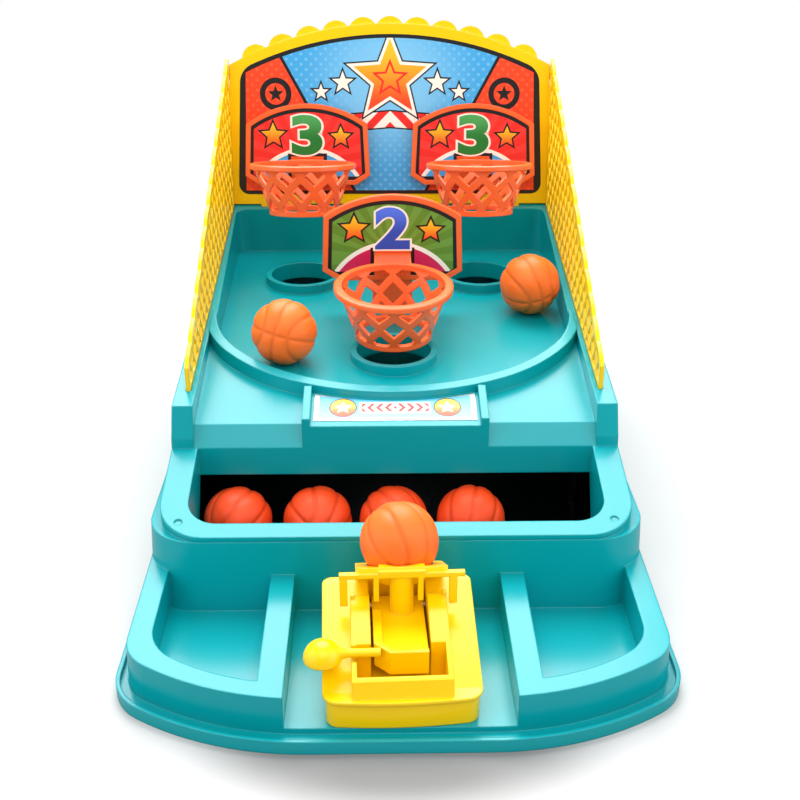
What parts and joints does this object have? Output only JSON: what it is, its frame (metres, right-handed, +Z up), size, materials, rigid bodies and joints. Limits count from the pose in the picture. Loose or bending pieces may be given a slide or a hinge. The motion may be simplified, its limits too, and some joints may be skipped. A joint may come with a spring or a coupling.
{
  "type": "tabletop basketball game",
  "caption": "Tabletop basketball game: trough and trays in a stepped base, sloped playfield, net baskets on a leaning backboard, swivelling spring launcher and loose balls",
  "frame": {"origin": "bottom centre of the whole toy's bounding box", "axes": "+X to the player's right, +Y away from the player towards the backboard, +Z up; the player sits at -Y"},
  "size_m": [0.2096, 0.343, 0.1999],
  "materials": {
    "teal_plastic": "smooth moulded, glossy",
    "yellow_plastic": "smooth moulded, glossy",
    "coral_plastic": "smooth moulded, glossy",
    "ball_plastic": "lightly grained",
    "ball_plastic_light": "lightly grained",
    "label_paper": "printed, satin",
    "backboard_paper": "printed, satin",
    "board_paper": "printed, satin",
    "steel": "plain"
  },
  "bodies": {
    "base": {"base_moulding": "teal_plastic", "playfield_moulding": "teal_plastic", "front_label": "label_paper", "backboard_panel": "yellow_plastic", "backboard_print": "backboard_paper", "side_net_left": "yellow_plastic", "side_net_right": "yellow_plastic", "hoop_board_left": "coral_plastic", "hoop_board_right": "coral_plastic", "hoop_board_front": "coral_plastic", "board_print_left": "board_paper", "board_print_right": "board_paper", "board_print_front": "board_paper", "basket_left": "coral_plastic", "basket_right": "coral_plastic", "basket_front": "coral_plastic", "hoop_post": "coral_plastic", "case_screws": "steel"},
    "launcher": {"launcher_housing": "yellow_plastic", "swivel_washer": "steel", "swivel_screw": "steel", "arm_pin": "steel", "arm_spring": "steel"},
    "throw_arm": {"throw_arm": "yellow_plastic", "lever_knob": "yellow_plastic"},
    "ball_trough_1": {"ball_trough_1": "ball_plastic"},
    "ball_trough_2": {"ball_trough_2": "ball_plastic"},
    "ball_trough_3": {"ball_trough_3": "ball_plastic"},
    "ball_trough_4": {"ball_trough_4": "ball_plastic"},
    "ball_basin_left": {"ball_basin_left": "ball_plastic_light"},
    "ball_basin_right": {"ball_basin_right": "ball_plastic_light"},
    "ball_launcher": {"ball_launcher": "ball_plastic_light"}
  },
  "joints": [
    {"name": "launcher_swivel", "type": "hinge", "parent": "base", "child": "launcher", "pos_m": [0, -0.13753, 0.006], "axis": [0, 0, 1], "range_deg": [-15, 15]},
    {"name": "throw_arm_hinge", "type": "hinge", "parent": "launcher", "child": "throw_arm", "pos_m": [-0.00066, -0.11854, 0.0233], "axis": [0.9994, 0.0349, 0], "range_deg": [0, 6], "stiffness_Nm_per_rad": 0.25, "springref_deg": -5.73, "deforming": ["arm_spring"]},
    {"name": "ball_trough_1_lift", "type": "slide", "parent": "base", "child": "ball_trough_1", "axis": [0, -0.5, 0.866], "range_m": [0, 0.06]},
    {"name": "ball_trough_2_lift", "type": "slide", "parent": "base", "child": "ball_trough_2", "axis": [0, -0.5, 0.866], "range_m": [0, 0.06]},
    {"name": "ball_trough_3_lift", "type": "slide", "parent": "base", "child": "ball_trough_3", "axis": [0, -0.5, 0.866], "range_m": [0, 0.06]},
    {"name": "ball_trough_4_lift", "type": "slide", "parent": "base", "child": "ball_trough_4", "axis": [0, -0.5, 0.866], "range_m": [0, 0.06]},
    {"name": "ball_basin_left_lift", "type": "slide", "parent": "base", "child": "ball_basin_left", "axis": [0, 0, 1], "range_m": [0, 0.1]},
    {"name": "ball_basin_right_lift", "type": "slide", "parent": "base", "child": "ball_basin_right", "axis": [0, 0, 1], "range_m": [0, 0.1]},
    {"name": "ball_launcher_lift", "type": "slide", "parent": "throw_arm", "child": "ball_launcher", "axis": [0, 0, 1], "range_m": [0, 0.1]}
  ]
}
